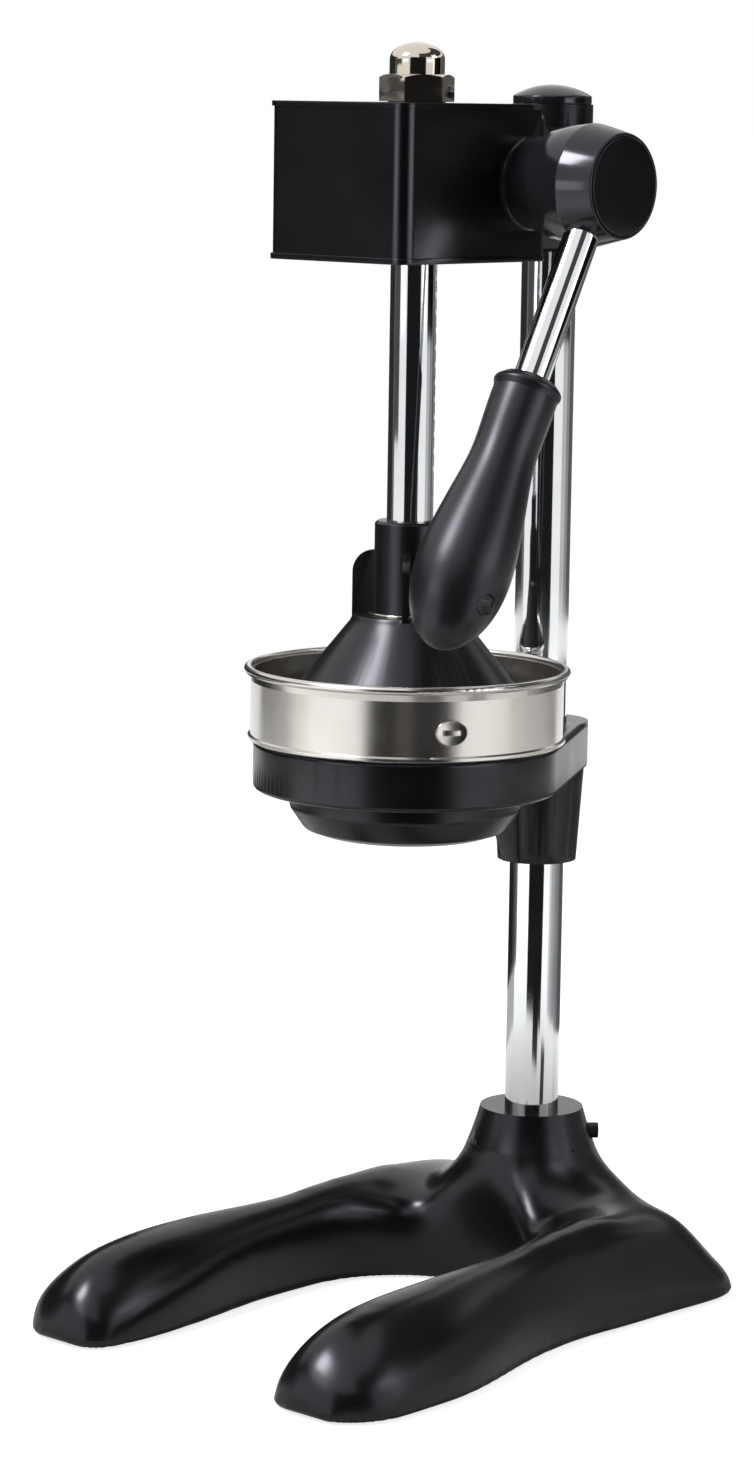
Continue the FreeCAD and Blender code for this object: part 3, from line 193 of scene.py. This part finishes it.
def finished(bm, name, body, slotName, standsFor=(), sharpDegrees=35):
    mesh = bpy.data.meshes.new(name)
    bm.to_mesh(mesh)
    bm.free()
    mesh.shade_smooth()
    mesh.set_sharp_from_angle(angle=math.radians(sharpDegrees))
    mesh.materials.append(finishes[slotName])
    made = bpy.data.objects.new(name, mesh)
    bpy.context.scene.collection.objects.link(made)
    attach(made, body)
    if standsFor:
        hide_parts(*standsFor)
    return made


def rounded(bm, geometry, widthMm, segments, affect="EDGES"):
    bmesh.ops.bevel(bm, geom=geometry, offset=widthMm * mm, offset_type="OFFSET", affect=affect,
                    segments=segments, profile=0.5, material=-1, clamp_overlap=True)


def cutLevel(bm, z, keepTop):
    # keeps one side of a level plane and closes the cut
    geometry = bm.verts[:] + bm.edges[:] + bm.faces[:]
    done = bmesh.ops.bisect_plane(bm, geom=geometry, dist=cutSlack, plane_co=(0, 0, z), plane_no=(0, 0, 1),
                                  clear_inner=keepTop, clear_outer=not keepTop)
    rim = [e for e in done["geom_cut"] if isinstance(e, bmesh.types.BMEdge)]
    bmesh.ops.triangle_fill(bm, edges=rim, use_beauty=True)


# base casting: the cast iron form flows from leg to post with no hard line, so its solid is melted

base = {"voxelMm": 1.6, "postFromMm": 54, "flatFootMm": 2.2, "postSoftMm": 70, "postPasses": 90,
        "legPasses": 40, "footPasses": 24, "melting": 0.5, "fadeFromMm": 0.4, "fadeMm": 4,
        "narrowing": 0.3}


def castBase():
    bm = merged("base_casting")
    mesh = bpy.data.meshes.new("baseSolid")
    bm.to_mesh(mesh)
    rough = bpy.data.objects.new("baseSolid", mesh)
    bpy.context.scene.collection.objects.link(rough)
    melt = rough.modifiers.new("melt", "REMESH")
    melt.mode = "VOXEL"
    melt.voxel_size = base["voxelMm"] * mm
    graph = bpy.context.evaluated_depsgraph_get()
    softMesh = bpy.data.meshes.new_from_object(rough.evaluated_get(graph))
    soft = bmesh.new()
    soft.from_mesh(softMesh)

    columnLow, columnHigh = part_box("column")
    axis = (Vector(columnLow) + Vector(columnHigh)) / 2
    top = base["postFromMm"] * mm
    foot = base["flatFootMm"] * mm
    near = base["postSoftMm"] * mm
    for n in range(base["postPasses"]):
        rise = top - (base["fadeFromMm"] + base["fadeMm"] * n / base["postPasses"]) * mm
        reach = near * (1 - base["narrowing"] * n / base["postPasses"])
        wide = n < base["legPasses"]
        picked = [v for v in soft.verts if foot < v.co.z < rise
                  and (wide or math.hypot(v.co.x - axis.x, v.co.y - axis.y) < reach)]
        bmesh.ops.smooth_vert(soft, verts=picked, factor=base["melting"], use_axis_x=True,
                              use_axis_y=True, use_axis_z=True)
    # the lowest rim is only smoothed level, so the foot stays flat
    lowest = [v for v in soft.verts if v.co.z <= foot]
    for n in range(base["footPasses"]):
        bmesh.ops.smooth_vert(soft, verts=lowest, factor=base["melting"], use_axis_x=True,
                              use_axis_y=True, use_axis_z=False)
    cutLevel(soft, top, False)
    soft.to_mesh(softMesh)
    soft.free()
    cutLevel(bm, top, True)
    bm.from_mesh(softMesh)
    bpy.data.objects.remove(rough)
    finished(bm, "baseCasting", "stand", "black_casting", ["base_casting"])


castBase()
print("base done")


# gear case: the walls run straight up to the plate, and only the rear edge of the top stays round
case = {"cornerMm": 5.5, "topRoundMm": 5.0, "slackMm": 0.06}


def squareCase():
    low, high = (Vector(p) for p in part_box("head_housing"))
    corner, topRound = case["cornerMm"] * mm, case["topRoundMm"] * mm
    sideCore, frontCore = high.x - corner, low.y + corner
    bm = merged("head_housing")
    for v in bm.verts:
        rise = v.co.z - (high.z - topRound)
        if rise <= 0 or v.co.y > high.y - corner + case["slackMm"] * mm:
            continue
        aside, ahead = max(abs(v.co.x) - sideCore, 0), max(frontCore - v.co.y, 0)
        reach = math.hypot(aside, ahead)
        inset = topRound - math.sqrt(max(topRound ** 2 - rise ** 2, 0))
        if reach > 0 and abs(corner - reach - inset) < case["slackMm"] * mm:
            grow = corner / reach
            v.co.x += math.copysign(aside * (grow - 1), v.co.x)
            v.co.y -= ahead * (grow - 1)
    bmesh.ops.remove_doubles(bm, verts=bm.verts, dist=weldMm * mm)
    bmesh.ops.dissolve_limit(bm, angle_limit=math.radians(flatDegrees), verts=bm.verts, edges=bm.edges)
    finished(bm, "gearCase", "stand", "black_casting", ["head_housing"])


squareCase()
print("gear case done")


# machined and moulded pieces: every outer edge is eased a little, so it catches the light

eased = {"head_top_plate": 0.35, "head_bottom_plate": 0.35, "column_clamp": 0.8, "bowl_carrier": 0.6,
         "left_bearing_cap": 0.5, "bearing_boss": 0.4, "acorn_nut": 0.25, "column_cap": 0.4,
         "press_cone": 0.5, "grip_plug": 0.3}
hardDegrees = 28
easeSteps = 3
bodyOf = {n: body for body, members in frame["record"]["behaviour"]["bodies"].items() for n in members}
slotOf = {row["node"]: row["material_slot"] for row in frame["record"]["subparts"]}


def easeEdges(node, widthMm):
    bm = merged(node)
    bmesh.ops.dissolve_limit(bm, angle_limit=math.radians(flatDegrees), verts=bm.verts, edges=bm.edges)
    hard = [e for e in bm.edges
            if len(e.link_faces) == 2 and e.calc_face_angle(0) > math.radians(hardDegrees)]
    rounded(bm, hard, widthMm, easeSteps)
    name = "".join(w if i == 0 else w.capitalize() for i, w in enumerate(node.split("_")))
    finished(bm, name + "Eased", bodyOf[node], slotOf[node], [node])


for node, widthMm in eased.items():
    easeEdges(node, widthMm)
print("edges eased")


# turned pieces: half profiles of (distance along the axis, radius) in mm, spun about the axis

turnSteps = 128
turnRoundSteps = 4


def turnedPiece(profile, axis, origin, roundMm):
    # the profile's corners are rounded as the lathe tool leaves them
    bm = bmesh.new()
    side = Vector((0, 0, 1)) if abs(axis.z) < 0.5 else Vector((1, 0, 0))
    verts = [bm.verts.new(origin + (axis * along + side * radius) * mm) for along, radius in profile]
    edges = [bm.edges.new(pair) for pair in zip(verts, verts[1:])]
    rounded(bm, verts[1:-1], roundMm, turnRoundSteps, "VERTICES")
    bmesh.ops.spin(bm, geom=bm.verts[:] + bm.edges[:], cent=origin, axis=axis, steps=turnSteps,
                   angle=2 * math.pi, use_merge=True)
    bmesh.ops.remove_doubles(bm, verts=bm.verts, dist=2 * weldMm * mm)
    bmesh.ops.recalc_face_normals(bm, faces=bm.faces)
    return bm


# lever hub: turned nylon, widest where the lever goes in, its end closed by a cap

hub = {"rearRadiusMm": 19.8, "widestMm": 15.8, "widestRadiusMm": 22.0, "frontRadiusMm": 18.7,
       "bellyMm": 0.25, "boreMm": 8.4, "boreChamferMm": 1.0, "capSeatMm": 17.45, "roundMm": 0.5,
       "capRadiusMm": 17.4, "capRoundMm": 0.3}


def turnHub():
    hubLow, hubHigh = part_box("lever_hub")
    capLow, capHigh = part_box("hub_cap")
    along = Vector((1, 0, 0))
    rear = Vector((hubLow[0], (capLow[1] + capHigh[1]) / 2, (capLow[2] + capHigh[2]) / 2))
    length = (hubHigh[0] - hubLow[0]) / mm
    seat, end = (capLow[0] - hubLow[0]) / mm, (capHigh[0] - hubLow[0]) / mm
    bore, chamfer, belly = hub["boreMm"], hub["boreChamferMm"], hub["bellyMm"]
    middle = (hub["rearRadiusMm"] + hub["widestRadiusMm"]) / 2 + belly
    profile = [(chamfer, bore), (0.0, bore + chamfer), (0.0, hub["rearRadiusMm"]),
               (hub["widestMm"] * 0.5, middle), (hub["widestMm"], hub["widestRadiusMm"]),
               (length, hub["frontRadiusMm"]), (length, hub["capSeatMm"]), (seat, hub["capSeatMm"]),
               (seat, bore), (chamfer, bore)]
    bm = turnedPiece(profile, along, rear, hub["roundMm"])
    finished(bm, "leverHubTurned", "lever", "black_plastic", ["lever_hub"])

    profile = [(seat, 0), (seat, hub["capRadiusMm"]), (end, hub["capRadiusMm"]), (end, 0)]
    bm = turnedPiece(profile, along, rear, hub["capRoundMm"])
    finished(bm, "hubCapTurned", "lever", "black_plastic", ["hub_cap"])


# polished ring where the cone's collar meets its shoulder
collarRing = {"innerMm": 12.6, "outerMm": 14.7, "thickMm": 1.1, "belowTopMm": 34.7, "roundMm": 0.4}


def turnCollarRing():
    low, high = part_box("press_cone")
    foot = Vector(((low[0] + high[0]) / 2, (low[1] + high[1]) / 2,
                   high[2] - collarRing["belowTopMm"] * mm))
    inner, outer, thick = collarRing["innerMm"], collarRing["outerMm"], collarRing["thickMm"]
    profile = [(thick / 2, inner), (0, inner), (0, outer), (thick, outer), (thick, inner),
               (thick / 2, inner)]
    bm = turnedPiece(profile, Vector((0, 0, 1)), foot, collarRing["roundMm"])
    finished(bm, "collarRing", "press", "nickel")


# juice dish under the carrier, one turned shell with its outlet in the middle; heights below its top
dish = {"profileMm": [(0, 41.7), (0, 42.8), (-6.6, 42.8), (-14.4, 37.4), (-16.6, 31.0), (-16.6, 8.0),
                      (-14.4, 8.0), (-14.4, 30.2), (-12.6, 35.2), (-5.6, 40.6), (0, 40.6), (0, 41.7)],
        "roundMm": 0.9}


def turnDish():
    low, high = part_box("juice_funnel")
    top = Vector(((low[0] + high[0]) / 2, (low[1] + high[1]) / 2, high[2]))
    bm = turnedPiece(dish["profileMm"], Vector((0, 0, 1)), top, dish["roundMm"])
    finished(bm, "juiceDish", "stand", "gloss_black", ["juice_funnel"], sharpDegrees=50)


# oval stud pressed in the cup's wall: a rounded rim, a shallow dish and a bar across it;
# its two bends, in radians, tell the outer rim and then the dish's rim from flatter edges
stud = {"wallMm": 57.6, "halfWidthMm": 5.9, "halfHeightMm": 4.8, "proudMm": 1.5, "sunkMm": 1.2,
        "rimMm": 1.3, "dishMm": 0.4, "edgeMm": 0.5, "barHalfMm": 3.2, "barHighMm": 2.1,
        "barProudMm": 0.6, "barEdgeMm": 0.3, "sides": 56, "rimBend": 1.0, "dishBend": 0.4,
        "edgeSteps": 4, "barEdgeSteps": 3}


def pressStud():
    low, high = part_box("cup_badge")
    centre = (Vector(low) + Vector(high)) / 2
    cupLow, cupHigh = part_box("strainer_cup")
    axis = (Vector(cupLow) + Vector(cupHigh)) / 2
    out = Vector((centre.x - axis.x, centre.y - axis.y, 0)).normalized()
    wall = stud["wallMm"] * mm
    seat = Vector((axis.x, axis.y, centre.z)) + out * (wall - stud["sunkMm"] * mm)
    turn = Matrix((out.cross((0, 0, -1)), (0, 0, 1), out)).transposed().to_4x4()
    stand = Matrix.Translation(seat) @ turn

    bm = bmesh.new()
    oval = Matrix.Diagonal((stud["halfWidthMm"] * mm, stud["halfHeightMm"] * mm, 1, 1))
    bmesh.ops.create_circle(bm, cap_ends=True, segments=stud["sides"], radius=1,
                            matrix=stand @ oval)
    bm.faces.ensure_lookup_table()
    face = bm.faces[0]
    grown = bmesh.ops.extrude_face_region(bm, geom=[face])
    moved = [g for g in grown["geom"] if isinstance(g, bmesh.types.BMVert)]
    bmesh.ops.translate(bm, verts=moved, vec=out * (stud["sunkMm"] + stud["proudMm"]) * mm)
    front = [g for g in grown["geom"] if isinstance(g, bmesh.types.BMFace)]
    bmesh.ops.inset_region(bm, faces=front, thickness=stud["rimMm"] * mm)
    outerRim = [e for e in bm.edges if e.calc_face_angle(0) > stud["rimBend"]]
    bmesh.ops.translate(bm, verts=front[0].verts[:], vec=out * -stud["dishMm"] * mm)
    innerRim = [e for e in bm.edges
                if e.calc_face_angle(0) > stud["dishBend"] and e not in outerRim]
    rounded(bm, outerRim + innerRim, stud["edgeMm"], stud["edgeSteps"])
    lift = stud["sunkMm"] + stud["proudMm"] - stud["dishMm"]
    block = Matrix.Translation((0, 0, lift * mm)) @ Matrix.Diagonal((
        2 * stud["barHalfMm"] * mm, stud["barHighMm"] * mm, 2 * stud["barProudMm"] * mm, 1))
    bar = bmesh.ops.create_cube(bm, size=1, matrix=stand @ block)
    barEdges = list({e for v in bar["verts"] for e in v.link_edges})
    rounded(bm, barEdges, stud["barEdgeMm"], stud["barEdgeSteps"])
    bmesh.ops.recalc_face_normals(bm, faces=bm.faces)
    finished(bm, "cupStud", "cup", "stainless", ["cup_badge"])


turnHub()
turnCollarRing()
turnDish()
pressStud()
print("turned pieces done")


# camera

shot = {"placeMm": (1032.4, -1155.9, 454.6), "azimuth": 42.419, "pitch": 8.636, "roll": 0.873,
        "focalPixels": 4238.232, "imageHeight": 1468, "sensorMm": 36, "nearestM": 0.05}


def placeCamera():
    lens = bpy.data.cameras.new("camera")
    lens.sensor_width = shot["sensorMm"]
    lens.lens = shot["focalPixels"] / shot["imageHeight"] * shot["sensorMm"]
    lens.clip_start = shot["nearestM"]
    camera = bpy.data.objects.new("camera", lens)
    turn = Matrix.Rotation(math.radians(shot["azimuth"]), 4, "Z")
    tip = Matrix.Rotation(math.radians(90 - shot["pitch"]), 4, "X")
    roll = Matrix.Rotation(math.radians(shot["roll"]), 4, "Z")
    camera.matrix_world = Matrix.Translation(Vector(shot["placeMm"]) * mm) @ turn @ tip @ roll
    bpy.context.scene.collection.objects.link(camera)
    bpy.context.scene.camera = camera


placeCamera()


# studio

studio = {"diffuseWorld": 0.30, "floorHalfM": 40, "floorColour": "#e4e4e2", "floorGlow": 0.78,
          "shadeFromM": 0.28, "shadeToM": 0.56, "cardLiftM": 0.001, "cardSteps": 12,
          "aimM": (0, 0, 0.25)}


def aimed(azimuth, elevation, distance):
    # a place round the camera's own azimuth, and the turn that faces the middle of the press
    a = math.radians(shot["azimuth"] + azimuth)
    e = math.radians(elevation)
    back = Vector((math.sin(a) * math.cos(e), -math.cos(a) * math.cos(e), math.sin(e)))
    place = Vector(studio["aimM"]) + back * distance
    return Matrix.Translation(place) @ back.to_track_quat("Z", "Y").to_matrix().to_4x4()


# each softbox: azimuth from the camera's own, elevation, distance, width, height in metres, and watts
softboxes = {
    "keyLight": (-64, 50, 1.7, 0.45, 0.55, 20),
    "sideLight": (80, 25, 2.0, 0.8, 1.2, 4),
}


def softbox(name, azimuth, elevation, distance, width, height, power):
    lamp = bpy.data.lights.new(name, "AREA")
    lamp.shape = "RECTANGLE"
    lamp.size = width
    lamp.size_y = height
    lamp.energy = power
    made = bpy.data.objects.new(name, lamp)
    made.matrix_world = aimed(azimuth, elevation, distance)
    made.visible_camera = False
    bpy.context.scene.collection.objects.link(made)


# each card: first and last azimuth from the camera's own, then near, far, low and top in metres;
# a low of 0 runs the card along the floor from near out to far before it stands up
cards = {
    "frontDark": (-31, 36, 0.43, 1.42, 0, 0, "#1c1c1d"),
    "frontWall": (-31, 36, 1.9, 1.9, 0.001, 1.3, "#1c1c1d"),
    "frontCupLeft": (-28, -8, 1.42, 1.89, 0, 0, "#434140"),
    "frontCupGap": (-8, 4, 1.42, 1.89, 0, 0, "#9a968e"),
    "frontCupRight": (4, 31, 1.42, 1.89, 0, 0, "#434140"),
    "leftCupDark": (-134, -110, 1.42, 1.88, 0, 0, "#343230"),
    "leftCupDeep": (-110, -99, 1.42, 1.88, 0, 0, "#7c7a78"),
    "leftCupGrey": (-99, -90, 1.42, 1.88, 0, 0, "#949290"),
    "leftCupMiddle": (-90, -82, 1.42, 1.88, 0, 0, "#a8a6a2"),
    "leftCupPale": (-82, -75, 1.42, 1.88, 0, 0, "#d6d4d0"),
    "leftCupWhite": (-69, -46, 1.42, 1.88, 0, 0, "#ffffff", 1.35),
    "rightCupWhite": (41, 70, 1.42, 1.88, 0, 0, "#ffffff", 1.35),
    "rightCupPale": (79, 87, 1.42, 1.88, 0, 0, "#e6e4e0"),
    "rightCupMiddle": (87, 95, 1.42, 1.88, 0, 0, "#d2d0cc"),
    "rightCupGrey": (95, 104, 1.42, 1.88, 0, 0, "#c2c0bc"),
    "rightCupDull": (104, 115, 1.42, 1.88, 0, 0, "#b0aeaa"),
    "rightCupDeep": (115, 125, 1.42, 1.88, 0, 0, "#8e8c88"),
    "rightCupDark": (125, 140, 1.42, 1.88, 0, 0, "#343230"),
    "rightNearDark": (44, 60, 0.26, 0.42, 0, 0, "#383838"),
    "frontNear": (2, 26, 0.34, 0.43, 0, 0, "#2c2c2c"),
    "leftMiddle": (-168, -102, 0.42, 0.56, 0, 0, "#bebebe"),
    "rightPale": (64, 74, 0.5, 1.15, 0, 0, "#dcdcdc"),
    "rightMiddle": (74, 86, 0.5, 1.15, 0, 0, "#b4b4b4"),
    "rightGrey": (86, 100, 0.5, 1.15, 0, 0, "#9a9a9a"),
    "rightDeep": (100, 118, 0.5, 1.15, 0, 0, "#868686"),
    "rightDark": (118, 172, 0.5, 1.15, 0, 0, "#5c5c5c"),
    "leftGrey": (-104, -91, 0.56, 1.15, 0, 0, "#747474"),
    "leftDeep": (-120, -104, 0.56, 1.15, 0, 0, "#484848"),
    "leftDark": (-172, -120, 0.56, 1.15, 0, 0, "#242424"),
    "rightMiddleWall": (76, 92, 1.9, 1.9, 0.03, 1.0, "#c4c4c4"),
    "rightDeepWall": (92, 118, 1.9, 1.9, 0.03, 1.0, "#949494"),
    "rightDarkWall": (118, 172, 1.9, 1.9, 0.03, 1.0, "#606060"),
    "leftGreyWall": (-104, -91, 1.9, 1.9, 0.03, 1.0, "#747474"),
    "leftDarkWall": (-172, -104, 1.9, 1.9, 0.03, 1.0, "#303030"),
    "rightHigh": (8, 150, 1.9, 1.9, 1.3, 3.4, "#484848"),
    "headRight": (74, 113, 0.6, 0.6, 0.33, 0.62, "#0c0c0c"),
    "headLeft": (-99, -67, 0.6, 0.6, 0.28, 0.52, "#505050"),
    "headStripLeft": (-62, -40, 0.6, 0.6, 0.34, 0.50, "#ffffff", 3.2),
    "headStripRight": (42, 66, 0.6, 0.6, 0.34, 0.50, "#ffffff", 3.2),
}


def studioCard(name, start, end, near, far, low, top, shade, strength=1.0):
    # a curved card that only shows in reflections
    bm = bmesh.new()
    profile = [(near, 0)] if low == 0 else []
    profile += [(far, low), (far, top)] if top > low else [(far, low)]
    turn = Matrix.Rotation(math.radians(shot["azimuth"] + start), 4, "Z")
    verts = [bm.verts.new(turn @ Vector((0, -r, z + studio["cardLiftM"]))) for r, z in profile]
    edges = [bm.edges.new(pair) for pair in zip(verts, verts[1:])]
    bmesh.ops.spin(bm, geom=verts + edges, cent=(0, 0, 0), axis=(0, 0, 1), use_merge=False,
                   steps=studio["cardSteps"], angle=math.radians(end - start))
    mesh = bpy.data.meshes.new(name)
    bm.to_mesh(mesh)
    bm.free()
    mesh.materials.append(cardMaterial(name, shade, strength))
    card = bpy.data.objects.new(name, mesh)
    card.visible_camera = False
    card.visible_diffuse = False
    card.visible_shadow = False
    card.visible_transmission = False
    bpy.context.scene.collection.objects.link(card)


def cardMaterial(name, shade, strength):
    made, tree = newMaterial(name + "Card")
    shader = addNode(tree, "ShaderNodeEmission", {"Color": linear(shade), "Strength": strength})
    finishMaterial(tree, shader.outputs["Emission"])
    return made


def floorMaterial():
    # pale paper: the shadow stays, and the lit part shows white to the camera and in metal
    made, tree = newMaterial("palePaper")
    path = addNode(tree, "ShaderNodeLightPath").outputs
    # metal sees the floor round the press duller, as it lies in the press's own shade
    at = addNode(tree, "ShaderNodeTexCoord").outputs["Object"]
    away = addNode(tree, "ShaderNodeVectorMath", {0: at}, operation="LENGTH")
    beyond = addNode(tree, "ShaderNodeMapRange", {
        "Value": away.outputs["Value"], "From Min": studio["shadeFromM"], "From Max": studio["shadeToM"]})
    mirrored = addNode(tree, "ShaderNodeMath", {0: path["Is Glossy Ray"], 1: beyond.outputs[0]},
                       operation="MULTIPLY")
    seen = addNode(tree, "ShaderNodeMath", {0: path["Is Camera Ray"], 1: mirrored.outputs[0]},
                   operation="MAXIMUM")
    seen = addNode(tree, "ShaderNodeMath", {0: seen.outputs[0], 1: path["Is Transmission Ray"]},
                   operation="MAXIMUM")
    glow = addNode(tree, "ShaderNodeMath", {0: seen.outputs[0], 1: studio["floorGlow"]},
                   operation="MULTIPLY")
    paper = addNode(tree, "ShaderNodeBsdfDiffuse", {"Color": linear(studio["floorColour"])})
    light = addNode(tree, "ShaderNodeEmission", {"Strength": glow.outputs[0]})
    both = addNode(tree, "ShaderNodeAddShader", {0: paper.outputs[0], 1: light.outputs[0]})
    finishMaterial(tree, both.outputs[0])
    return made


def buildStudio():
    bm = bmesh.new()
    bmesh.ops.create_grid(bm, x_segments=1, y_segments=1, size=studio["floorHalfM"])
    mesh = bpy.data.meshes.new("floor")
    bm.to_mesh(mesh)
    bm.free()
    mesh.materials.append(floorMaterial())
    floor = bpy.data.objects.new("floor", mesh)
    bpy.context.scene.collection.objects.link(floor)

    world = bpy.data.worlds.new("studio")
    bpy.context.scene.world = world
    world.use_nodes = True
    tree = world.node_tree
    tree.nodes.clear()
    path = addNode(tree, "ShaderNodeLightPath").outputs
    seen = addNode(tree, "ShaderNodeMath", {0: path["Is Camera Ray"], 1: path["Is Glossy Ray"]},
                   operation="MAXIMUM")
    seen = addNode(tree, "ShaderNodeMath", {0: seen.outputs[0], 1: path["Is Transmission Ray"]},
                   operation="MAXIMUM")
    level = addNode(tree, "ShaderNodeMapRange", {
        "Value": seen.outputs[0], "To Min": studio["diffuseWorld"], "To Max": 1.0})
    sky = addNode(tree, "ShaderNodeBackground", {"Color": (1, 1, 1, 1), "Strength": level.outputs[0]})
    addNode(tree, "ShaderNodeOutputWorld", {"Surface": sky.outputs[0]})

    for name, place in softboxes.items():
        softbox(name, *place)
    for name, place in cards.items():
        studioCard(name, *place)


buildStudio()
bpy.context.scene.view_settings.view_transform = "Standard"
print("studio ready")
